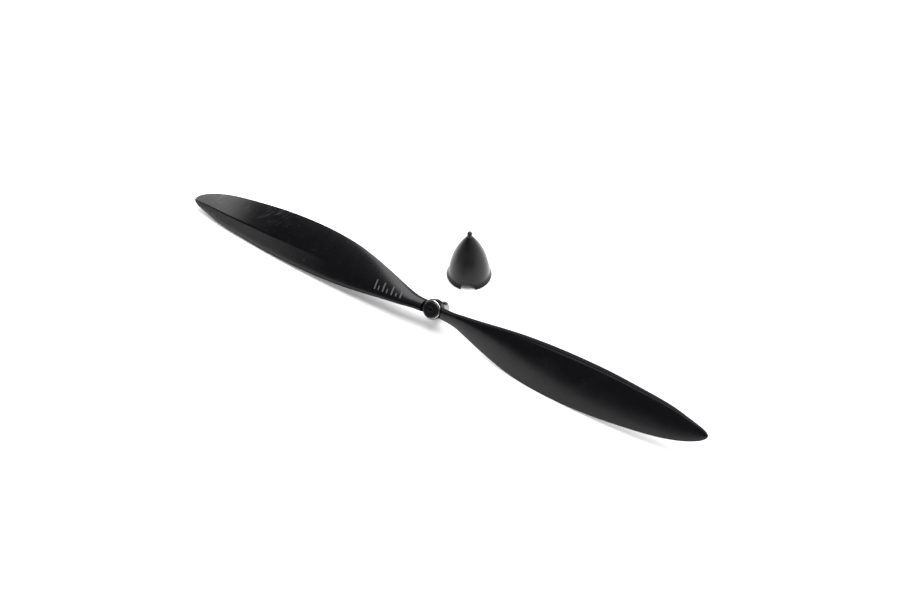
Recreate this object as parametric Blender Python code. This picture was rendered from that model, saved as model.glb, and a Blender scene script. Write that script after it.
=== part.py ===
"""Two-bladed 150 mm propeller for a small model aircraft, with its spinner taken off beside it.

Metres, +Z up, the table at Z = 0. The span runs close to X. The propeller leans on its blade
edges, its hub axis tipped towards -Y, and the spinner stands on its rim on the +Y side.
"""
import math

import bpy
import bmesh
import numpy as np
from mathutils import Matrix, Vector

MM = 0.001

# Propeller, in its own frame: span on X, chord on Y, hub axis on Z with the front at +Z.
RADIUS = 75.0
PITCH = 25.5
LEAN = (-0.416, -0.271)
ROOT_SINK = -0.9
ROOT_SINK_END = 0.16
MAX_ROOT_TWIST = math.radians(30.0)
# Span station (fraction of the radius), chord and mid-chord offset from the span line.
STATIONS = (
    (0.02, 3.42, 0.005), (0.06, 3.62, 0.016), (0.10, 4.63, -0.073), (0.16, 6.49, -0.457),
    (0.23, 8.70, -0.837), (0.32, 11.11, -1.161), (0.42, 12.46, -1.232), (0.54, 12.76, -1.095),
    (0.66, 11.95, -0.808), (0.78, 10.14, -0.469), (0.88, 7.83, -0.135), (0.95, 4.87, 0.189),
    (1.0, 0.0, 0.733),
)
TIP_CHORD_KNOT = 8.87
THICKNESS = (
    (0.0, 2.0), (0.08, 1.7), (0.16, 1.45), (0.32, 1.2), (0.54, 1.05), (0.78, 0.8), (0.95, 0.55), (1.0, 0.35),
)
CAMBER = 0.035
EDGE_THICKNESS = 0.22
SPAN_STEPS = 30
SIDE_STEPS = 12

# Hub stack along the hub axis.
BOSS_R = 2.58
BOSS_BACK = -2.0
BOSS_FRONT = -0.35
BOSS_BORE_R = 1.15
SEAT_R = 2.93
SPIGOT_R = 1.10
SPIGOT_FRONT = -0.45
BARREL_R = 1.65
BARREL_FRONT = -2.05
BARREL_BACK = -6.7
SHAFT_BORE_R = 0.75
SHAFT_BORE_DEPTH = 3.2
THREAD_HOLE_R = 0.75
THREAD_HOLE_BACK = -3.1
WASHER_R = 2.4
WASHER_BORE_R = 0.85
WASHER_BACK = -0.30
WASHER_FRONT = 0.20
GROOVE_INNER_R = 2.08
GROOVE_OUTER_R = 2.25
GROOVE_DEPTH = 0.12
HEAD_R = 1.95
HEAD_BACK = 0.25
HEAD_FRONT = 0.70
SHANK_R = 0.70
SHANK_END = -2.85
SOCKET_FLATS = 0.7
SOCKET_DEPTH = 0.5

# Pose of the propeller on the table.
HUB = (-0.011, -10.524, 5.60)
AXIS_TIP = math.radians(51.37)
SPAN_TILT = math.radians(1.54)

# Spinner.
SPINNER = (-1.446, 8.743, 0.0)
RIM_R = 5.72
RIM_HEIGHT = 0.3
RIM_WAIST = (5.42, 0.75)
RIM_SLOPE_TOP = 1.3
SHELL_R = 5.25
SHELL_HEIGHT = 14.6
SHELL_TOP = 13.8
NUB_R = 0.62
NUB_TOP = 15.3
WALL = 0.75
CAVITY_TOP = 12.3
NOTCH_WIDTH = 3.7
NOTCH_SIDE = 0.4
NOTCH_HEIGHT = 1.9
NOTCH_TURN = math.radians(-60.0)

SEGMENTS = 48


def clear_scene():
    for item in list(bpy.data.objects):
        bpy.data.objects.remove(item, do_unlink=True)


def material(name, colour, roughness, metallic):
    mat = bpy.data.materials.new(name)
    mat.use_nodes = True
    shader = mat.node_tree.nodes["Principled BSDF"]
    shader.inputs["Base Color"].default_value = (*colour, 1.0)
    shader.inputs["Roughness"].default_value = roughness
    shader.inputs["Metallic"].default_value = metallic
    mat.diffuse_color = (*colour, 1.0)
    return mat


def object_from(name, verts, faces, mat, parent=None):
    """An object in metres from millimetre points, with its normals made to face out."""
    mesh = bpy.data.meshes.new(name)
    mesh.from_pydata([[c * MM for c in v] for v in verts], [], faces)
    bm = bmesh.new()
    bm.from_mesh(mesh)
    bmesh.ops.recalc_face_normals(bm, faces=bm.faces)
    bm.to_mesh(mesh)
    bm.free()
    mesh.shade_smooth()
    mesh.set_sharp_from_angle(angle=math.radians(35.0))
    mesh.materials.append(mat)
    obj = bpy.data.objects.new(name, mesh)
    bpy.context.scene.collection.objects.link(obj)
    obj.parent = parent
    return obj


def turned(profile, segments=SEGMENTS):
    """Points and faces of a closed (radius, height) profile turned about Z."""
    verts = []
    rings = []
    for radius, height in profile:
        if radius == 0.0:
            rings.append([len(verts)] * segments)
            verts.append((0.0, 0.0, height))
            continue
        rings.append(list(range(len(verts), len(verts) + segments)))
        for step in range(segments):
            angle = 2.0 * math.pi * step / segments
            verts.append((radius * math.cos(angle), radius * math.sin(angle), height))
    faces = []
    count = len(rings)
    for index in range(count):
        lower, upper = rings[index], rings[(index + 1) % count]
        for step in range(segments):
            after = (step + 1) % segments
            face = []
            for vert in (lower[step], lower[after], upper[after], upper[step]):
                if vert not in face:
                    face.append(vert)
            if len(face) > 2:
                faces.append(face)
    return verts, faces


def boolean(obj, cutter, operation):
    mod = obj.modifiers.new(operation.lower(), "BOOLEAN")
    mod.operation = operation
    mod.solver = "EXACT"
    mod.object = cutter
    cutter.hide_render = True
    cutter.display_type = "WIRE"


def smooth_curve(knots):
    """A natural cubic spline through (position, value) knots."""
    x = np.array([k[0] for k in knots])
    y = np.array([k[1] for k in knots])
    n = len(x)
    h = np.diff(x)
    a = np.zeros((n, n))
    b = np.zeros(n)
    a[0, 0] = 1.0
    a[-1, -1] = 1.0
    for i in range(1, n - 1):
        a[i, i - 1] = h[i - 1]
        a[i, i] = 2.0 * (h[i - 1] + h[i])
        a[i, i + 1] = h[i]
        b[i] = 6.0 * ((y[i + 1] - y[i]) / h[i] - (y[i] - y[i - 1]) / h[i - 1])
    second = np.linalg.solve(a, b)

    def value(at):
        i = int(np.clip(np.searchsorted(x, at) - 1, 0, n - 2))
        left = x[i + 1] - at
        right = at - x[i]
        cubic = (second[i] * left ** 3 + second[i + 1] * right ** 3) / (6.0 * h[i])
        line_left = (y[i] / h[i] - second[i] * h[i] / 6.0) * left
        line_right = (y[i + 1] / h[i] - second[i + 1] * h[i] / 6.0) * right
        return float(cubic + line_left + line_right)

    return value


def tip_round(station):
    """The round ending of the blade's outline, one at the root and zero at the tip."""
    return math.sqrt(max(0.0, 1.0 - station ** 6))


CHORD_FULL = smooth_curve([(s, c / tip_round(s)) for s, c, _ in STATIONS[:-1]] + [(1.0, TIP_CHORD_KNOT)])
OFFSET = smooth_curve([(s, m) for s, _, m in STATIONS])
BLADE_THICKNESS = smooth_curve(THICKNESS)


def section(station):
    """One closed blade section, from the leading edge over the front face and back."""
    radius = station * RADIUS
    chord = CHORD_FULL(station) * tip_round(station)
    twist = min(math.atan2(PITCH, 2.0 * math.pi * radius), MAX_ROOT_TWIST)
    thick = BLADE_THICKNESS(station)
    round_root = float(np.clip((0.2 - station) / 0.15, 0.0, 1.0))
    edge = EDGE_THICKNESS * min(1.0, chord / 2.0)
    front = []
    back = []
    for step in range(SIDE_STEPS + 1):
        x = 0.5 - 0.5 * math.cos(math.pi * step / SIDE_STEPS)
        oval = math.sqrt(max(0.0, x * (1.0 - x)))
        wing = (0.2969 * math.sqrt(x) - 0.126 * x - 0.3516 * x ** 2 + 0.2843 * x ** 3 - 0.1036 * x ** 4) * 5.0
        half = thick * (round_root * oval + (1.0 - round_root) * wing)
        rim = edge * 0.5 * (1.0 - (2.0 * x - 1.0) ** 8)
        lift = 4.0 * CAMBER * chord * (1.0 - round_root) * x * (1.0 - x)
        front.append((x, lift + half + rim))
        back.append((x, lift - half - rim))
    loop = front + back[-2:0:-1]
    sink = ROOT_SINK * max(0.0, 1.0 - station / ROOT_SINK_END) ** 2
    height = LEAN[0] * station + LEAN[1] * station ** 2 + sink
    points = []
    for x, up in loop:
        along = (0.5 - x) * chord
        y = OFFSET(station) + along * math.cos(twist) - up * math.sin(twist)
        z = height + along * math.sin(twist) + up * math.cos(twist)
        points.append((radius, y, z))
    return points


def blade_mesh(turn):
    """A lofted blade; turn is 1 for the +X blade and -1 for the one opposite."""
    stations = [0.008]
    for step in range(SPAN_STEPS + 1):
        fraction = step / SPAN_STEPS
        stations.append(0.03 + 0.9698 * (1.0 - (1.0 - fraction) ** 1.6))
    verts = []
    faces = []
    count = 2 * SIDE_STEPS
    for station in stations:
        for x, y, z in section(station):
            verts.append((x * turn, y * turn, z))
    for ring in range(len(stations) - 1):
        for step in range(count):
            after = (step + 1) % count
            low = ring * count
            faces.append((low + step, low + after, low + count + after, low + count + step))
    faces.append(tuple(range(count)))
    last = (len(stations) - 1) * count
    faces.append(tuple(range(last, last + count)))
    return verts, faces


def build_propeller(parent):
    plastic = material("black_plastic", (0.012, 0.012, 0.014), 0.32, 0.0)
    spare = 0.4
    boss = turned([(0.0, BOSS_BACK - spare), (BOSS_R, BOSS_BACK - spare),
                   (BOSS_R, BOSS_FRONT + spare), (0.0, BOSS_FRONT + spare)])
    propeller = object_from("propeller", *boss, plastic, parent)
    for name, turn in (("blade_right", 1.0), ("blade_left", -1.0)):
        blade = object_from(name, *blade_mesh(turn), plastic, parent)
        boolean(propeller, blade, "UNION")
    bore = turned([(0.0, -4.0), (BOSS_BORE_R, -4.0), (BOSS_BORE_R, 4.0), (0.0, 4.0)])
    boolean(propeller, object_from("bore_cutter", *bore, plastic, parent), "DIFFERENCE")
    face = turned([(0.0, BOSS_FRONT), (SEAT_R, BOSS_FRONT), (SEAT_R, 4.0), (0.0, 4.0)])
    boolean(propeller, object_from("face_cutter", *face, plastic, parent), "DIFFERENCE")
    back = turned([(0.0, -4.0), (SEAT_R, -4.0), (SEAT_R, BOSS_BACK), (0.0, BOSS_BACK)])
    boolean(propeller, object_from("back_cutter", *back, plastic, parent), "DIFFERENCE")
    return propeller


def build_adapter(parent):
    metal = material("bright_metal", (0.72, 0.71, 0.69), 0.22, 1.0)
    chamfer = 0.2
    profile = [
        (0.0, BARREL_BACK + SHAFT_BORE_DEPTH), (SHAFT_BORE_R, BARREL_BACK + SHAFT_BORE_DEPTH),
        (SHAFT_BORE_R, BARREL_BACK), (BARREL_R - chamfer, BARREL_BACK), (BARREL_R, BARREL_BACK + chamfer),
        (BARREL_R, BARREL_FRONT), (SPIGOT_R, BARREL_FRONT), (SPIGOT_R, SPIGOT_FRONT),
        (THREAD_HOLE_R, SPIGOT_FRONT), (THREAD_HOLE_R, THREAD_HOLE_BACK), (0.0, THREAD_HOLE_BACK),
    ]
    return object_from("shaft_adapter", *turned(profile), metal, parent)


def build_washer(parent):
    metal = material("washer_metal", (0.78, 0.78, 0.77), 0.16, 1.0)
    bevel = 0.1
    floor = WASHER_FRONT - GROOVE_DEPTH
    profile = [
        (WASHER_BORE_R, WASHER_BACK), (WASHER_R - bevel, WASHER_BACK), (WASHER_R, WASHER_BACK + bevel),
        (WASHER_R, WASHER_FRONT - bevel), (WASHER_R - bevel, WASHER_FRONT), (GROOVE_OUTER_R, WASHER_FRONT),
        (GROOVE_OUTER_R - 0.04, floor), (GROOVE_INNER_R + 0.04, floor), (GROOVE_INNER_R, WASHER_FRONT),
        (WASHER_BORE_R, WASHER_FRONT),
    ]
    return object_from("hub_washer", *turned(profile), metal, parent)


def build_screw(parent):
    steel = material("black_steel", (0.016, 0.016, 0.018), 0.38, 0.3)
    bevel = 0.12
    profile = [
        (0.0, SHANK_END), (SHANK_R - 0.15, SHANK_END), (SHANK_R, SHANK_END + 0.15), (SHANK_R, HEAD_BACK),
        (HEAD_R - 0.05, HEAD_BACK), (HEAD_R, HEAD_BACK + 0.05), (HEAD_R, HEAD_FRONT - bevel),
        (HEAD_R - bevel, HEAD_FRONT), (0.0, HEAD_FRONT),
    ]
    screw = object_from("hub_screw", *turned(profile), steel, parent)
    corner = SOCKET_FLATS / math.sqrt(3.0)
    hexagon = turned([(0.0, HEAD_FRONT - SOCKET_DEPTH), (corner, HEAD_FRONT - SOCKET_DEPTH),
                      (corner, HEAD_FRONT + 1.0), (0.0, HEAD_FRONT + 1.0)], 6)
    boolean(screw, object_from("socket_cutter", *hexagon, steel, parent), "DIFFERENCE")
    return screw


def shell_radius(height, base, top):
    return base * (1.0 - min(1.0, height / top) ** 2) ** 0.93


def build_spinner():
    plastic = material("spinner_plastic", (0.014, 0.014, 0.015), 0.36, 0.0)
    outer = [(RIM_R, 0.0), (RIM_R, RIM_HEIGHT), RIM_WAIST]
    for step in range(13):
        height = RIM_SLOPE_TOP + (SHELL_TOP - RIM_SLOPE_TOP) * math.sin(0.5 * math.pi * step / 12)
        outer.append((max(shell_radius(height, SHELL_R, SHELL_HEIGHT), NUB_R), height))
    outer += [(NUB_R, NUB_TOP - 0.15), (NUB_R - 0.15, NUB_TOP), (0.0, NUB_TOP)]
    inner = []
    for step in range(10):
        height = CAVITY_TOP * math.sin(0.5 * math.pi * step / 9)
        inner.append((shell_radius(height, SHELL_R - WALL, CAVITY_TOP), height))
    inner[-1] = (0.0, CAVITY_TOP)
    spinner = object_from("spinner", *turned(inner[::-1] + outer), plastic)
    spinner.location = Vector(SPINNER) * MM
    spinner.rotation_euler = (0.0, 0.0, NOTCH_TURN)
    half = 0.5 * NOTCH_WIDTH
    rise = NOTCH_HEIGHT - NOTCH_SIDE
    arch = [(-half, -1.0), (half, -1.0), (half, NOTCH_SIDE)]
    for step in range(1, 12):
        angle = math.pi * step / 12
        arch.append((half * math.cos(angle), NOTCH_SIDE + rise * math.sin(angle)))
    arch.append((-half, NOTCH_SIDE))
    count = len(arch)
    points = [(-9.0, y, z) for y, z in arch] + [(9.0, y, z) for y, z in arch]
    sides = [(i, (i + 1) % count, count + (i + 1) % count, count + i) for i in range(count)]
    sides += [tuple(range(count)), tuple(range(count, 2 * count))]
    boolean(spinner, object_from("notch_cutter", points, sides, plastic, spinner), "DIFFERENCE")
    return spinner


def main():
    clear_scene()
    pose = bpy.data.objects.new("propeller_pose", None)
    bpy.context.scene.collection.objects.link(pose)
    tip = Matrix.Rotation(AXIS_TIP, 4, "X")
    tilt = Matrix.Rotation(-SPAN_TILT, 4, "Y")
    pose.matrix_world = Matrix.Translation(Vector(HUB) * MM) @ tilt @ tip
    build_propeller(pose)
    build_adapter(pose)
    build_washer(pose)
    build_screw(pose)
    build_spinner()


main()
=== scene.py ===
"""The propeller and its loose spinner on a pale table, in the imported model's frame (metres)."""

import math

import bmesh
import bpy
import numpy as np
from mathutils import Matrix, Vector


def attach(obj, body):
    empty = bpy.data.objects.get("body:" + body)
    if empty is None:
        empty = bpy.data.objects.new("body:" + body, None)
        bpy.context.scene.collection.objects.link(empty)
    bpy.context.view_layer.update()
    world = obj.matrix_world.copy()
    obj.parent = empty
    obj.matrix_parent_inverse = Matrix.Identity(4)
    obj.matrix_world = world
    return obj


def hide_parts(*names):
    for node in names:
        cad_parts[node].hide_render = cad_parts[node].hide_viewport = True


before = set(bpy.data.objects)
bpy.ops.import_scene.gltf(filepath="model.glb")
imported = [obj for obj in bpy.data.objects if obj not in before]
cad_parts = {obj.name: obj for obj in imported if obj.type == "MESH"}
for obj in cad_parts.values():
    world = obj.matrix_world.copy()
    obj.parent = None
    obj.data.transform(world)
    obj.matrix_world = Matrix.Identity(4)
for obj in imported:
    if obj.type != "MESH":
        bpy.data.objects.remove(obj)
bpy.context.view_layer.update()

MM = 0.001

# Propeller, in its own frame in millimetres: span on X, chord on Y, front of the hub at +Z.
RADIUS = 75.0
PITCH = 25.5
LEAN = (-0.416, -0.271)
ROOT_SINK = -0.9
ROOT_SINK_END = 0.16
MAX_ROOT_TWIST = math.radians(30.0)
# Span station (fraction of the radius), chord and mid-chord offset from the span line.
STATIONS = (
    (0.02, 3.42, 0.005), (0.06, 3.62, 0.016), (0.10, 4.63, -0.073), (0.16, 6.49, -0.457),
    (0.23, 8.70, -0.837), (0.32, 11.11, -1.161), (0.42, 12.46, -1.232), (0.54, 12.76, -1.095),
    (0.66, 11.95, -0.808), (0.78, 10.14, -0.469), (0.88, 7.83, -0.135), (0.95, 4.87, 0.189),
    (1.0, 0.0, 0.733),
)
TIP_CHORD_KNOT = 8.87
# Span station and blade thickness.
THICKNESS = (
    (0.0, 2.0), (0.08, 1.7), (0.16, 1.45), (0.32, 1.2), (0.54, 1.05), (0.78, 0.8), (0.95, 0.55),
    (1.0, 0.35),
)
CAMBER = 0.035
EDGE_THICKNESS = 0.22
# The low ridge along the outer blade's front: its place over the chord and its height.
CREST = 0.385
CREST_HEIGHT = 0.05

HUB = Vector((-0.011, -10.524, 5.60)) * MM
AXIS_TIP = math.radians(51.37)
SPAN_TILT = math.radians(1.54)
POSE = Matrix.Translation(HUB) @ Matrix.Rotation(-SPAN_TILT, 4, "Y") @ Matrix.Rotation(AXIS_TIP, 4, "X")

BOSS_R = 2.58
BOSS_BACK = -2.0
BOSS_FRONT = -0.35
BOSS_BORE_R = 1.15
BOSS_SPARE = 0.4
SEAT_R = 2.93
CUT_REACH = 4.0

# Hub hardware, in millimetres on the hub's axis.
SPIGOT_R = 1.10
SPIGOT_FRONT = -0.45
BARREL_R = 1.65
BARREL_FRONT = -2.05
BARREL_BACK = -6.7
BARREL_CHAMFER = 0.2
SHAFT_BORE_R = 0.75
SHAFT_BORE_END = -3.5
THREAD_HOLE_R = 0.75
THREAD_HOLE_BACK = -3.1
WASHER_R = 2.4
WASHER_BORE_R = 0.85
WASHER_BACK = -0.30
WASHER_FRONT = 0.20
WASHER_BEVEL = 0.1
GROOVE_INNER_R = 2.08
GROOVE_OUTER_R = 2.25
GROOVE_DEPTH = 0.12
GROOVE_SLOPE = 0.04
HEAD_R = 1.95
HEAD_BACK = 0.25
HEAD_FRONT = 0.70
HEAD_BEVEL = 0.1
DISH_R = 0.62
DISH_FLOOR_R = 0.46
DISH_DEPTH = 0.1
SHANK_R = 0.70
SHANK_END = -2.85
SHANK_CHAMFER = 0.15
SOCKET_FLATS = 0.7
SOCKET_FLOOR = 0.2
TURN_STEPS = 128

# Spinner, in millimetres on its own axis.
SPINNER = Vector((-1.446, 8.743, 0.0)) * MM
NOTCH_TURN = math.radians(-60.0)
RIM_R = 5.72
RIM_HEIGHT = 0.3
RIM_WAIST = (5.42, 0.75)
RIM_SLOPE_TOP = 1.3
SHELL_R = 5.25
SHELL_HEIGHT = 14.6
SHELL_TOP = 13.8
NUB_R = 0.62
NUB_TOP = 15.3
WALL = 0.75
CAVITY_TOP = 12.3
NOTCH_WIDTH = 3.7
NOTCH_SIDE = 0.4
NOTCH_HEIGHT = 1.9
NOTCH_REACH = 9.0
RIM_EDGE = 0.06
NUB_ROUND = 0.45
NUB_DIMPLE = 0.12
SPINNER_STEPS = 160

# Colours (linear) and the wear's own sizes.
BLADE_BLACK = (0.0045, 0.0045, 0.0055)
SPINNER_BLACK = (0.004, 0.004, 0.005)
STEEL_BLACK = (0.004, 0.004, 0.005)
MARK_GREY = (0.075, 0.075, 0.075)
BARREL_METAL = (0.26, 0.26, 0.26)
WASHER_METAL = (0.5, 0.5, 0.5)
TABLE_WHITE = (0.96, 0.96, 0.96)
# painted shade for the dark lines along the blades' ridge and edges
PAINTED_SHADE_LINE = (0.001, 0.001, 0.001)
SCRATCH_TURN = math.radians(47.0)
SCRATCH_WIDTH = 0.06
LEADING_EDGE_DULLING = 0.5

# Raised bars on the left blade: inner radius and width in mm, then the chord places they run between.
SIZE_MARKS = (
    (8.4, 0.38, 0.26, 0.62), (9.7, 0.32, 0.26, 0.42), (10.9, 0.38, 0.24, 0.60), (12.3, 0.32, 0.24, 0.40),
    (13.4, 0.38, 0.23, 0.56), (14.7, 0.32, 0.23, 0.38), (15.7, 0.38, 0.22, 0.53),
)
MARK_SLANT = 0.6
MARK_PROUD = 0.07
MARK_ROOT = -0.15

# The picture's own directions on the table: the camera looks along +Y turned by this much.
HEADING = math.radians(33.32)
CAMERA_DISTANCE = 403.6
CAMERA_HEIGHT_ANGLE = math.radians(48.65)
CAMERA_LENS = 64.3
AIM = Vector((-0.662, -1.342, 0.0)) * MM

# Studio light: an even surround with a darker patch low on the left, and two soft lights.
SURROUND_STRENGTH = 0.75
DARK_PATCH = (-0.62, -0.62, 0.48)
OVERHEAD_WATTS = 5.8
SIDE_WATTS = 1.6


def in_view(right, away, up):
    """A point given from the aim point, to the picture's right, away from the camera and up, in mm."""
    turned_point = Matrix.Rotation(HEADING, 4, "Z") @ Vector((right, away, up))
    return AIM + turned_point * MM


# ---------------------------------------------------------------- shapes

def smooth_curve(knots):
    """A natural cubic spline through (position, value) knots."""
    x = np.array([k[0] for k in knots])
    y = np.array([k[1] for k in knots])
    n = len(x)
    h = np.diff(x)
    a = np.zeros((n, n))
    b = np.zeros(n)
    a[0, 0] = 1.0
    a[-1, -1] = 1.0
    for i in range(1, n - 1):
        a[i, i - 1] = h[i - 1]
        a[i, i] = 2.0 * (h[i - 1] + h[i])
        a[i, i + 1] = h[i]
        b[i] = 6.0 * ((y[i + 1] - y[i]) / h[i] - (y[i] - y[i - 1]) / h[i - 1])
    second = np.linalg.solve(a, b)

    def value(at):
        i = int(np.clip(np.searchsorted(x, at) - 1, 0, n - 2))
        left = x[i + 1] - at
        right = at - x[i]
        cubic = (second[i] * left ** 3 + second[i + 1] * right ** 3) / (6.0 * h[i])
        line_left = (y[i] / h[i] - second[i] * h[i] / 6.0) * left
        line_right = (y[i + 1] / h[i] - second[i + 1] * h[i] / 6.0) * right
        return float(cubic + line_left + line_right)

    return value


def tip_round(station):
    return math.sqrt(max(0.0, 1.0 - station ** 6))


CHORD_FULL = smooth_curve([(s, c / tip_round(s)) for s, c, _ in STATIONS[:-1]] + [(1.0, TIP_CHORD_KNOT)])
OFFSET = smooth_curve([(s, m) for s, _, m in STATIONS])
BLADE_THICKNESS = smooth_curve(THICKNESS)


def blade_heights(station, x, chord):
    """Heights of the blade's front and back faces over the chord line, x from 0 (leading) to 1."""
    thick = BLADE_THICKNESS(station)
    round_root = float(np.clip((0.2 - station) / 0.15, 0.0, 1.0))
    edge = EDGE_THICKNESS * min(1.0, chord / 2.0)
    oval = math.sqrt(max(0.0, x * (1.0 - x)))
    wing = (0.2969 * math.sqrt(x) - 0.126 * x - 0.3516 * x ** 2 + 0.2843 * x ** 3 - 0.1036 * x ** 4) * 5.0
    half = thick * (round_root * oval + (1.0 - round_root) * wing)
    rim = edge * 0.5 * (1.0 - (2.0 * x - 1.0) ** 8)
    lift = 4.0 * CAMBER * chord * (1.0 - round_root) * x * (1.0 - x)
    outer = float(np.clip((station - 0.6) / 0.25, 0.0, 1.0)) * min(1.0, chord / 5.0)
    ridge = CREST_HEIGHT * outer * max(0.0, 1.0 - abs(x - CREST) / 0.3)
    return lift + half + rim + ridge, lift - half - rim


def blade_point(station, x, face, proud=0.0):
    """A point of the blade's front (face 0) or back (face 1), raised by proud."""
    chord = CHORD_FULL(station) * tip_round(station)
    radius = station * RADIUS
    twist = min(math.atan2(PITCH, 2.0 * math.pi * radius), MAX_ROOT_TWIST)
    up = blade_heights(station, x, chord)[face] + proud
    along = (0.5 - x) * chord
    y = OFFSET(station) + along * math.cos(twist) - up * math.sin(twist)
    sink = ROOT_SINK * max(0.0, 1.0 - station / ROOT_SINK_END) ** 2
    height = LEAN[0] * station + LEAN[1] * station ** 2 + sink
    z = height + along * math.sin(twist) + up * math.cos(twist)
    return (radius, y, z)


def mesh_object(name, verts, faces, sharp=35.0):
    mesh = bpy.data.meshes.new(name)
    mesh.from_pydata([[c * MM for c in v] for v in verts], [], faces)
    bm = bmesh.new()
    bm.from_mesh(mesh)
    bmesh.ops.recalc_face_normals(bm, faces=bm.faces)
    bm.to_mesh(mesh)
    bm.free()
    mesh.shade_smooth()
    mesh.set_sharp_from_angle(angle=math.radians(sharp))
    obj = bpy.data.objects.new(name, mesh)
    bpy.context.scene.collection.objects.link(obj)
    return obj


def turned(profile, segments):
    """Points and faces of a closed (radius, height) profile turned about Z."""
    verts = []
    rings = []
    for radius, height in profile:
        if radius == 0.0:
            rings.append([len(verts)] * segments)
            verts.append((0.0, 0.0, height))
            continue
        rings.append(list(range(len(verts), len(verts) + segments)))
        for step in range(segments):
            angle = 2.0 * math.pi * step / segments
            verts.append((radius * math.cos(angle), radius * math.sin(angle), height))
    faces = []
    count = len(rings)
    for index in range(count):
        lower, upper = rings[index], rings[(index + 1) % count]
        for step in range(segments):
            after = (step + 1) % segments
            face = []
            for vert in (lower[step], lower[after], upper[after], upper[step]):
                if vert not in face:
                    face.append(vert)
            if len(face) > 2:
                faces.append(face)
    return verts, faces


def rounded(profile, radius, steps=4):
    """The same (radius, height) profile with its off-axis corners rounded by arcs."""
    out = []
    count = len(profile)
    for index, (r, h) in enumerate(profile):
        before = Vector(profile[index - 1])
        here = Vector((r, h))
        after = Vector(profile[(index + 1) % count])
        if r == 0.0:
            out.append((r, h))
            continue
        to_before = before - here
        to_after = after - here
        cut = min(radius, 0.45 * to_before.length, 0.45 * to_after.length)
        first = here + to_before.normalized() * cut
        last = here + to_after.normalized() * cut
        for step in range(steps + 1):
            t = step / steps
            point = first * (1 - t) ** 2 + here * 2 * t * (1 - t) + last * t ** 2
            out.append((point.x, point.y))
    return out


def cut(obj, cutters, sharp=30.0):
    """Applies Boolean steps (cutter, operation) to obj and removes the cutters."""
    for cutter, operation in cutters:
        mod = obj.modifiers.new("cut", "BOOLEAN")
        mod.operation = operation
        mod.solver = "EXACT"
        mod.object = cutter
    bpy.context.view_layer.update()
    graph = bpy.context.evaluated_depsgraph_get()
    mesh = bpy.data.meshes.new_from_object(obj.evaluated_get(graph))
    obj.modifiers.clear()
    obj.data = mesh
    mesh.shade_smooth()
    mesh.set_sharp_from_angle(angle=math.radians(sharp))
    for cutter, _ in cutters:
        bpy.data.objects.remove(cutter, do_unlink=True)


def blade(name, turn, spans=150, sides=36):
    """One lofted blade; turn is 1 for the +X blade and -1 for the one opposite."""
    stations = [0.008]
    for step in range(spans + 1):
        fraction = step / spans
        stations.append(0.03 + 0.9698 * (1.0 - (1.0 - fraction) ** 1.6))
    verts = []
    count = 2 * sides
    for station in stations:
        loop = []
        for step in range(sides + 1):
            loop.append((0.5 - 0.5 * math.cos(math.pi * step / sides), 0))
        for step in range(sides - 1, 0, -1):
            loop.append((0.5 - 0.5 * math.cos(math.pi * step / sides), 1))
        for x, face in loop:
            px, py, pz = blade_point(station, x, face)
            verts.append((px * turn, py * turn, pz))
    faces = []
    for ring in range(len(stations) - 1):
        for step in range(count):
            after = (step + 1) % count
            low = ring * count
            faces.append((low + step, low + after, low + count + after, low + count + step))
    faces.append(tuple(range(count)))
    last = (len(stations) - 1) * count
    faces.append(tuple(range(last, last + count)))
    return mesh_object(name, verts, faces, 60.0)


def store_blade_places(mesh):
    """Each point's span (signed fraction), place over the chord (0 leading) and face (1 front)."""
    places = mesh.attributes.new("blade_place", "FLOAT_VECTOR", "POINT")
    for vert in mesh.vertices:
        px, py, pz = vert.co / MM
        side = 1.0 if px > 0.0 else -1.0
        station = float(np.clip(abs(px) / RADIUS, 0.02, 0.9995))
        chord = max(0.3, CHORD_FULL(station) * tip_round(station))
        twist = min(math.atan2(PITCH, 2.0 * math.pi * station * RADIUS), MAX_ROOT_TWIST)
        sink = ROOT_SINK * max(0.0, 1.0 - station / ROOT_SINK_END) ** 2
        flat = py * side - OFFSET(station)
        rise = pz - (LEAN[0] * station + LEAN[1] * station ** 2 + sink)
        along = flat * math.cos(twist) + rise * math.sin(twist)
        up = rise * math.cos(twist) - flat * math.sin(twist)
        x = float(np.clip(0.5 - along / chord, 0.0, 1.0))
        front = 1.0 if up > 4.0 * CAMBER * chord * x * (1.0 - x) else 0.0
        places.data[vert.index].vector = (side * station, x, front)


def raised_mark(name, inner, outer, lead, trail):
    """A small raised bar on the left blade's front, between two radii (mm) and two chord places."""
    verts = []
    rows = 6
    columns = 10
    for layer in (MARK_PROUD, MARK_ROOT):
        for row in range(rows + 1):
            for column in range(columns + 1):
                x = lead + (trail - lead) * column / columns
                reach = inner + (outer - inner) * row / rows + MARK_SLANT * (x - lead)
                px, py, pz = blade_point(reach / RADIUS, x, 0, layer)
                verts.append((-px, -py, pz))
    faces = []
    layer_size = (rows + 1) * (columns + 1)
    border = []
    for row in range(rows):
        for column in range(columns):
            low = row * (columns + 1) + column
            quad = (low, low + 1, low + columns + 2, low + columns + 1)
            faces.append(quad)
            faces.append(tuple(layer_size + v for v in reversed(quad)))
    border += list(range(columns))
    border += [row * (columns + 1) + columns for row in range(rows)]
    border += [rows * (columns + 1) + column for column in range(columns, 0, -1)]
    border += [row * (columns + 1) for row in range(rows, 0, -1)]
    for index, vert in enumerate(border):
        after = border[(index + 1) % len(border)]
        faces.append((vert, layer_size + vert, layer_size + after, after))
    return mesh_object(name, verts, faces, 40.0)


# ---------------------------------------------------------------- materials

def new_material(name):
    mat = bpy.data.materials.new(name)
    mat.use_nodes = True
    nodes = mat.node_tree.nodes
    return mat, nodes, mat.node_tree.links, nodes["Principled BSDF"]


def node(nodes, kind, **values):
    made = nodes.new(kind)
    for key, value in values.items():
        if key in made.inputs:
            made.inputs[key].default_value = value
        else:
            setattr(made, key, value)
    return made


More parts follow.
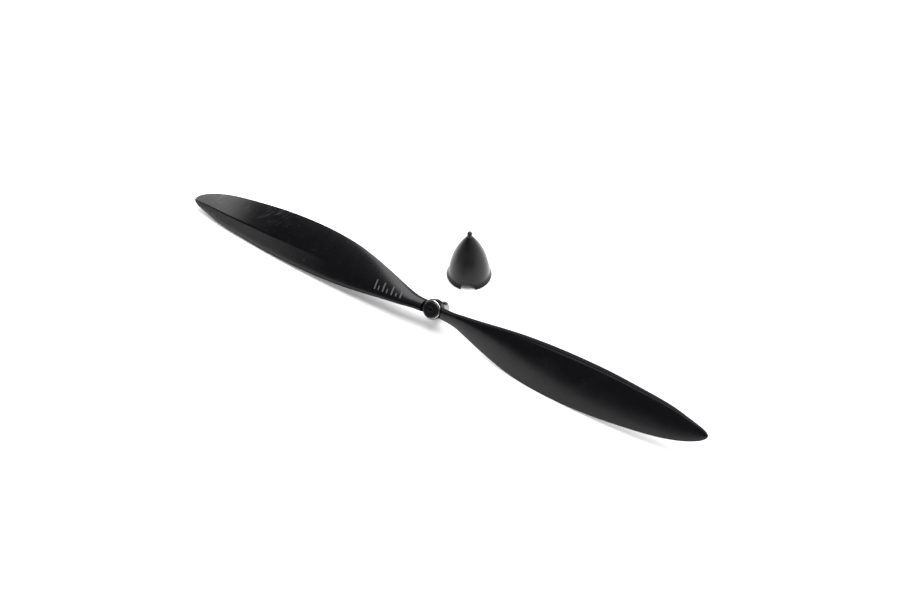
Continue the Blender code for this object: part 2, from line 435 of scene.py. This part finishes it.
def ramp(nodes, low, high, dark, light):
    made = nodes.new("ShaderNodeMapRange")
    made.inputs["From Min"].default_value = low
    made.inputs["From Max"].default_value = high
    made.inputs["To Min"].default_value = dark
    made.inputs["To Max"].default_value = light
    return made


def calc(nodes, links, operation, first, second=0.0):
    """A Math node on sockets or numbers."""
    made = nodes.new("ShaderNodeMath")
    made.operation = operation
    for socket, value in zip(made.inputs, (first, second)):
        if isinstance(value, (int, float)):
            socket.default_value = value
        else:
            links.new(value, socket)
    return made.outputs[0]


def fade(nodes, links, value, low, high, dark=0.0, light=1.0):
    """A smooth step of value from dark at low to light at high."""
    step = ramp(nodes, low, high, dark, light)
    step.interpolation_type = "SMOOTHSTEP"
    links.new(value, step.inputs["Value"])
    return step.outputs["Result"]


def line(nodes, links, value, centre, half):
    """One on the line where value is centre, falling to zero at half away from it."""
    off = calc(nodes, links, "ABSOLUTE", calc(nodes, links, "SUBTRACT", value, centre))
    return fade(nodes, links, off, half * 0.4, half, 1.0, 0.0)


def product(nodes, links, *values):
    """All the sockets or numbers multiplied together."""
    total = values[0]
    for value in values[1:]:
        total = calc(nodes, links, "MULTIPLY", total, value)
    return total


def wear_and_painted_light_on_blades(mat):
    """Painted shade lines along the ridge and both edges, painted highlights and sheen on both blades,
    real scratches and specks, placed by the blade_place attribute.
    """
    nodes = mat.node_tree.nodes
    links = mat.node_tree.links
    shader = nodes["Principled BSDF"]
    place = nodes.new("ShaderNodeAttribute")
    place.attribute_name = "blade_place"
    parts = nodes.new("ShaderNodeSeparateXYZ")
    links.new(place.outputs["Vector"], parts.inputs["Vector"])
    span, chord, front = parts.outputs[0], parts.outputs[1], parts.outputs[2]

    def on_span(start, full):
        """Zero up to start, one from full; the left blade's span is negative."""
        return fade(nodes, links, span, start, full)

    def on_chord(start, full):
        return fade(nodes, links, chord, start, full)

    def mask(*values):
        return product(nodes, links, *values)

    where = nodes.new("ShaderNodeTexCoord")
    turn = node(nodes, "ShaderNodeMapping", vector_type="TEXTURE")
    turn.inputs["Rotation"].default_value = (0.0, 0.0, SCRATCH_TURN)
    turn.inputs["Scale"].default_value = (1.0, SCRATCH_WIDTH, 1.0)
    links.new(where.outputs["Object"], turn.inputs["Vector"])
    hair = node(nodes, "ShaderNodeTexNoise", Scale=190.0, Detail=4.0, Roughness=0.7)
    links.new(turn.outputs["Vector"], hair.inputs["Vector"])
    scratch = fade(nodes, links, hair.outputs["Fac"], 0.54, 0.68)
    dust = node(nodes, "ShaderNodeTexNoise", Scale=2600.0, Detail=1.0)
    links.new(where.outputs["Object"], dust.inputs["Vector"])
    speck = fade(nodes, links, dust.outputs["Fac"], 0.74, 0.79)

    behind_ridge = on_chord(0.39, 0.43)
    ahead_of_ridge = on_chord(0.385, 0.36)
    # painted highlight: a thin light line near the leading edge
    lip_highlight_line = line(nodes, links, chord, 0.075, 0.016)
    # How much each kind of wear and each painted highlight lightens the plastic, and where it is.
    wear_and_painted_highlights = (
        # painted highlight on the left tip behind the ridge, and its lightest end
        (0.012, mask(on_span(-0.62, -0.86), behind_ridge)),
        (0.085, mask(on_span(-0.73, -0.90), behind_ridge)),
        # painted reflection lightening the left blade ahead of the ridge
        (0.036, mask(on_span(-0.35, -0.88), ahead_of_ridge)),
        # scratches near the left blade's trailing edge
        (0.045, mask(on_span(-0.55, -0.70), on_span(-0.99, -0.88), scratch, on_chord(0.55, 0.75))),
        # specks over the middle of the left and the right blade
        (0.05, mask(speck, mask(on_span(-0.18, -0.30), on_span(-0.85, -0.60)))),
        (0.02, mask(speck, mask(on_span(0.3, 0.5), on_span(0.97, 0.9)))),
        # painted highlight line on the lip along the right blade's leading edge
        (0.022, mask(lip_highlight_line, on_span(0.28, 0.5), on_span(0.985, 0.93))),
        # painted sheen on the inner trailing half of the right blade
        (0.005, mask(on_chord(0.35, 0.75), on_span(0.05, 0.18), on_span(0.52, 0.36))),
    )
    light = 0.0
    for amount, place_of_wear_or_highlight in wear_and_painted_highlights:
        light = calc(nodes, links, "ADD", light, mask(amount, place_of_wear_or_highlight))
    light = mask(light, front)

    # painted shade: dark lines along the ridge crease of the left tip and along both edges of each blade
    ridge = mask(line(nodes, links, chord, CREST, 0.024), on_span(-0.55, -0.80))
    dark = calc(nodes, links, "MAXIMUM", on_chord(0.03, 0.012), ridge)
    dark = calc(nodes, links, "MAXIMUM", dark, on_chord(0.975, 0.99))
    keep = calc(nodes, links, "SUBTRACT", 1.0, dark)
    dull = mask(on_chord(0.05, 0.02), LEADING_EDGE_DULLING)
    matt = calc(nodes, links, "ADD", shader.inputs["Roughness"].links[0].from_socket, dull)
    links.new(matt, shader.inputs["Roughness"])
    # the painted highlights and the wear are both added to the base colour here
    worn_and_highlit = node(nodes, "ShaderNodeMix", data_type="RGBA", blend_type="ADD", Factor=1.0)
    links.new(shader.inputs["Base Color"].links[0].from_socket, worn_and_highlit.inputs[6])
    links.new(light, worn_and_highlit.inputs[7])
    painted_shade_lined = node(nodes, "ShaderNodeMix", data_type="RGBA")
    painted_shade_lined.inputs[6].default_value = (*PAINTED_SHADE_LINE, 1.0)
    links.new(keep, painted_shade_lined.inputs["Factor"])
    links.new(worn_and_highlit.outputs[2], painted_shade_lined.inputs[7])
    links.new(painted_shade_lined.outputs[2], shader.inputs["Base Color"])


def moulded_plastic(name, colour, roughness, grain, bump, shine=0.35):
    """Black moulded plastic with a faint uneven gloss and a fine surface texture."""
    mat, nodes, links, shader = new_material(name)
    place = nodes.new("ShaderNodeTexCoord")
    cloud = node(nodes, "ShaderNodeTexNoise", Scale=260.0, Detail=5.0, Roughness=0.6)
    links.new(place.outputs["Object"], cloud.inputs["Vector"])
    gloss = ramp(nodes, 0.3, 0.7, roughness - 0.04, roughness + 0.05)
    links.new(cloud.outputs["Fac"], gloss.inputs["Value"])
    links.new(gloss.outputs["Result"], shader.inputs["Roughness"])
    tint = node(nodes, "ShaderNodeMix", data_type="RGBA")
    tint.inputs[6].default_value = (*[c * 0.85 for c in colour], 1.0)
    tint.inputs[7].default_value = (*[c * 1.2 for c in colour], 1.0)
    links.new(cloud.outputs["Fac"], tint.inputs["Factor"])
    links.new(tint.outputs[2], shader.inputs["Base Color"])
    fine = node(nodes, "ShaderNodeTexNoise", Scale=grain, Detail=3.0)
    links.new(place.outputs["Object"], fine.inputs["Vector"])
    relief = node(nodes, "ShaderNodeBump", Strength=bump, Distance=0.00002)
    links.new(fine.outputs["Fac"], relief.inputs["Height"])
    links.new(relief.outputs["Normal"], shader.inputs["Normal"])
    shader.inputs["IOR"].default_value = 1.5
    shader.inputs["Specular IOR Level"].default_value = shine
    return mat


def metal(name, colour, roughness, lathe):
    """Turned metal with fine rings round its axis."""
    mat, nodes, links, shader = new_material(name)
    place = nodes.new("ShaderNodeTexCoord")
    stretch = node(nodes, "ShaderNodeMapping")
    stretch.inputs["Scale"].default_value = (1.0, 1.0, lathe)
    links.new(place.outputs["Object"], stretch.inputs["Vector"])
    rings = node(nodes, "ShaderNodeTexNoise", Scale=900.0, Detail=2.0)
    links.new(stretch.outputs["Vector"], rings.inputs["Vector"])
    gloss = ramp(nodes, 0.3, 0.7, roughness * 0.7, roughness * 1.4)
    links.new(rings.outputs["Fac"], gloss.inputs["Value"])
    links.new(gloss.outputs["Result"], shader.inputs["Roughness"])
    relief = node(nodes, "ShaderNodeBump", Strength=0.15, Distance=0.00001)
    links.new(rings.outputs["Fac"], relief.inputs["Height"])
    links.new(relief.outputs["Normal"], shader.inputs["Normal"])
    shader.inputs["Base Color"].default_value = (*colour, 1.0)
    shader.inputs["Metallic"].default_value = 1.0
    return mat


# ---------------------------------------------------------------- pieces

def finish_piece(obj, mat, place, body, cad=None):
    obj.data.materials.clear()
    obj.data.materials.append(mat)
    obj.matrix_world = place
    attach(obj, body)
    if cad:
        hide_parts(cad)


def make_propeller():
    boss_back = BOSS_BACK - BOSS_SPARE
    boss_front = BOSS_FRONT + BOSS_SPARE
    boss = [(0.0, boss_back), (BOSS_R, boss_back), (BOSS_R, boss_front), (0.0, boss_front)]
    skin = mesh_object("propeller_moulding", *turned(boss, TURN_STEPS))
    steps = [(blade("blade_right", 1.0), "UNION"), (blade("blade_left", -1.0), "UNION")]
    # The bore comes last: cut before the back seat, it is left closed by a thin disc.
    for name, radius, low, high in (
        ("front_seat", SEAT_R, BOSS_FRONT, CUT_REACH),
        ("back_seat", SEAT_R, -CUT_REACH, BOSS_BACK),
        ("bore", BOSS_BORE_R, -CUT_REACH, CUT_REACH),
    ):
        profile = [(0.0, low), (radius, low), (radius, high), (0.0, high)]
        steps.append((mesh_object(name, *turned(profile, TURN_STEPS)), "DIFFERENCE"))
    cut(skin, steps)
    mat = moulded_plastic("blade_plastic", BLADE_BLACK, 0.24, 9000.0, 0.15, 0.26)
    store_blade_places(skin.data)
    wear_and_painted_light_on_blades(mat)
    finish_piece(skin, mat, POSE, "propeller", "propeller")
    frosted = moulded_plastic("mark_frosted", MARK_GREY, 0.6, 12000.0, 0.3)
    for index, (inner, width, lead, trail) in enumerate(SIZE_MARKS):
        bar = raised_mark(f"size_mark_{index + 1}", inner, inner + width, lead, trail)
        finish_piece(bar, frosted, POSE, "propeller")


def make_hub_metal():
    barrel = [
        (0.0, SHAFT_BORE_END), (SHAFT_BORE_R, SHAFT_BORE_END), (SHAFT_BORE_R, BARREL_BACK),
        (BARREL_R - BARREL_CHAMFER, BARREL_BACK), (BARREL_R, BARREL_BACK + BARREL_CHAMFER),
        (BARREL_R, BARREL_FRONT), (SPIGOT_R, BARREL_FRONT), (SPIGOT_R, SPIGOT_FRONT),
        (THREAD_HOLE_R, SPIGOT_FRONT), (THREAD_HOLE_R, THREAD_HOLE_BACK), (0.0, THREAD_HOLE_BACK),
    ]
    adapter = mesh_object("adapter_sleeve", *turned(rounded(barrel, 0.06), TURN_STEPS), 60.0)
    finish_piece(adapter, metal("bright_metal", BARREL_METAL, 0.22, 12.0), POSE,
                 "adapter", "shaft_adapter")
    flat_r = WASHER_R - WASHER_BEVEL
    floor = WASHER_FRONT - GROOVE_DEPTH
    ring = [
        (WASHER_BORE_R, WASHER_BACK), (flat_r, WASHER_BACK), (WASHER_R, WASHER_BACK + WASHER_BEVEL),
        (WASHER_R, WASHER_FRONT - WASHER_BEVEL), (flat_r, WASHER_FRONT), (GROOVE_OUTER_R, WASHER_FRONT),
        (GROOVE_OUTER_R - GROOVE_SLOPE, floor), (GROOVE_INNER_R + GROOVE_SLOPE, floor),
        (GROOVE_INNER_R, WASHER_FRONT), (WASHER_BORE_R, WASHER_FRONT),
    ]
    washer = mesh_object("washer_ring", *turned(rounded(ring, 0.03), TURN_STEPS), 60.0)
    finish_piece(washer, metal("washer_metal", WASHER_METAL, 0.2, 12.0), POSE,
                 "washer", "hub_washer")
    dish_floor = HEAD_FRONT - DISH_DEPTH
    head = [
        (0.0, SHANK_END), (SHANK_R - SHANK_CHAMFER, SHANK_END), (SHANK_R, SHANK_END + SHANK_CHAMFER),
        (SHANK_R, HEAD_BACK), (HEAD_R - 0.04, HEAD_BACK), (HEAD_R, HEAD_BACK + 0.04),
        (HEAD_R, HEAD_FRONT - HEAD_BEVEL), (HEAD_R - HEAD_BEVEL, HEAD_FRONT), (DISH_R, HEAD_FRONT),
        (DISH_FLOOR_R, dish_floor), (0.0, dish_floor),
    ]
    screw = mesh_object("screw_body", *turned(rounded(head, 0.04), TURN_STEPS), 60.0)
    corner = SOCKET_FLATS / math.sqrt(3.0)
    above = HEAD_FRONT + 1.3
    socket = [(0.0, SOCKET_FLOOR), (corner, SOCKET_FLOOR), (corner, above), (0.0, above)]
    cut(screw, [(mesh_object("socket", *turned(socket, 6)), "DIFFERENCE")], 40.0)
    mat = moulded_plastic("black_steel", STEEL_BLACK, 0.4, 6000.0, 0.3, 0.2)
    finish_piece(screw, mat, POSE, "screw", "hub_screw")


def shell_radius(height, base, top):
    return base * (1.0 - min(1.0, height / top) ** 2) ** 0.93


def make_spinner():
    outer = [
        (RIM_R - RIM_EDGE, 0.0), (RIM_R, RIM_EDGE), (RIM_R, RIM_HEIGHT - 0.08), (RIM_R - 0.05, RIM_HEIGHT),
    ]
    foot = Vector((shell_radius(RIM_SLOPE_TOP, SHELL_R, SHELL_HEIGHT), RIM_SLOPE_TOP))
    brow = Vector(outer[-1])
    pull = 2.0 * Vector(RIM_WAIST) - 0.5 * (brow + foot)
    for step in range(1, 8):
        t = step / 8
        outer.append(tuple(brow * (1 - t) ** 2 + pull * 2 * t * (1 - t) + foot * t ** 2))
    for step in range(61):
        height = RIM_SLOPE_TOP + (SHELL_TOP - RIM_SLOPE_TOP) * math.sin(0.5 * math.pi * step / 60)
        outer.append((max(shell_radius(height, SHELL_R, SHELL_HEIGHT), NUB_R), height))
    for step in range(1, 9):
        angle = 0.5 * math.pi * step / 8
        radius = NUB_R * (0.45 + 0.55 * math.cos(angle))
        outer.append((radius, NUB_TOP - NUB_ROUND + NUB_ROUND * math.sin(angle)))
    outer.append((0.0, NUB_TOP - NUB_DIMPLE))
    inner = []
    for step in range(41):
        height = CAVITY_TOP * math.sin(0.5 * math.pi * step / 40)
        inner.append((shell_radius(height, SHELL_R - WALL, CAVITY_TOP), height))
    inner[-1] = (0.0, CAVITY_TOP)
    spinner = mesh_object("spinner_shell", *turned(inner[::-1] + outer, SPINNER_STEPS), 40.0)
    half = 0.5 * NOTCH_WIDTH
    rise = NOTCH_HEIGHT - NOTCH_SIDE
    arch = [(-half, -1.0), (half, -1.0), (half, NOTCH_SIDE)]
    for step in range(1, 32):
        angle = math.pi * step / 32
        arch.append((half * math.cos(angle), NOTCH_SIDE + rise * math.sin(angle)))
    arch.append((-half, NOTCH_SIDE))
    count = len(arch)
    points = [(side * NOTCH_REACH, y, z) for side in (-1.0, 1.0) for y, z in arch]
    sides = [(i, (i + 1) % count, count + (i + 1) % count, count + i) for i in range(count)]
    sides += [tuple(range(count)), tuple(range(count, 2 * count))]
    cut(spinner, [(mesh_object("notch", points, sides), "DIFFERENCE")])
    mat = moulded_plastic("spinner_plastic", SPINNER_BLACK, 0.34, 7000.0, 0.3, 0.24)
    shader = mat.node_tree.nodes["Principled BSDF"]
    shader.inputs["Sheen Weight"].default_value = 0.4
    shader.inputs["Sheen Roughness"].default_value = 0.35
    place = Matrix.Translation(SPINNER) @ Matrix.Rotation(NOTCH_TURN, 4, "Z")
    finish_piece(spinner, mat, place, "spinner", "spinner")


# ---------------------------------------------------------------- table, light and camera

def make_table():
    bpy.ops.mesh.primitive_grid_add(x_subdivisions=8, y_subdivisions=8, size=6.0, location=(0.0, 0.0, 0.0))
    table = bpy.context.object
    table.name = "table"
    mat, nodes, links, shader = new_material("table_white")
    shader.inputs["Base Color"].default_value = (*TABLE_WHITE, 1.0)
    shader.inputs["Roughness"].default_value = 0.6
    shader.inputs["Specular IOR Level"].default_value = 0.2
    table.data.materials.append(mat)


def soft_light(name, right, away, up, size, power):
    data = bpy.data.lights.new(name, "AREA")
    data.shape = "RECTANGLE"
    data.size = size[0]
    data.size_y = size[1]
    data.energy = power
    lamp = bpy.data.objects.new(name, data)
    bpy.context.scene.collection.objects.link(lamp)
    lamp.location = in_view(right, away, up)
    lamp.rotation_euler = (AIM - lamp.location).to_track_quat("-Z", "Y").to_euler()


def make_light():
    world = bpy.data.worlds.new("studio")
    world.use_nodes = True
    nodes = world.node_tree.nodes
    links = world.node_tree.links
    back = nodes["Background"]
    where = nodes.new("ShaderNodeTexCoord")
    toward = nodes.new("ShaderNodeVectorMath")
    toward.operation = "DOT_PRODUCT"
    toward.inputs[1].default_value = Matrix.Rotation(HEADING, 4, "Z") @ Vector(DARK_PATCH)
    links.new(where.outputs["Generated"], toward.inputs[0])
    shade = ramp(nodes, 0.55, 0.92, 1.0, 0.05)
    shade.interpolation_type = "SMOOTHSTEP"
    links.new(toward.outputs["Value"], shade.inputs["Value"])
    links.new(shade.outputs["Result"], back.inputs["Color"])
    back.inputs["Strength"].default_value = SURROUND_STRENGTH
    bpy.context.scene.world = world
    soft_light("overhead", 60.0, 160.0, 620.0, (0.6, 0.5), OVERHEAD_WATTS)
    soft_light("side", 480.0, -40.0, 380.0, (0.4, 0.4), SIDE_WATTS)


def make_camera():
    data = bpy.data.cameras.new("camera")
    data.lens = CAMERA_LENS
    data.sensor_width = 36.0
    data.clip_start = 0.01
    camera = bpy.data.objects.new("camera", data)
    bpy.context.scene.collection.objects.link(camera)
    away = -CAMERA_DISTANCE * math.cos(CAMERA_HEIGHT_ANGLE)
    up = CAMERA_DISTANCE * math.sin(CAMERA_HEIGHT_ANGLE)
    camera.location = in_view(0.0, away, up)
    camera.rotation_euler = (0.5 * math.pi - CAMERA_HEIGHT_ANGLE, 0.0, HEADING)
    bpy.context.scene.camera = camera


make_propeller()
make_hub_metal()
make_spinner()
make_table()
make_light()
make_camera()
bpy.context.scene.view_settings.view_transform = "Standard"
bpy.context.scene.view_settings.look = "None"

bpy.context.view_layer.update()
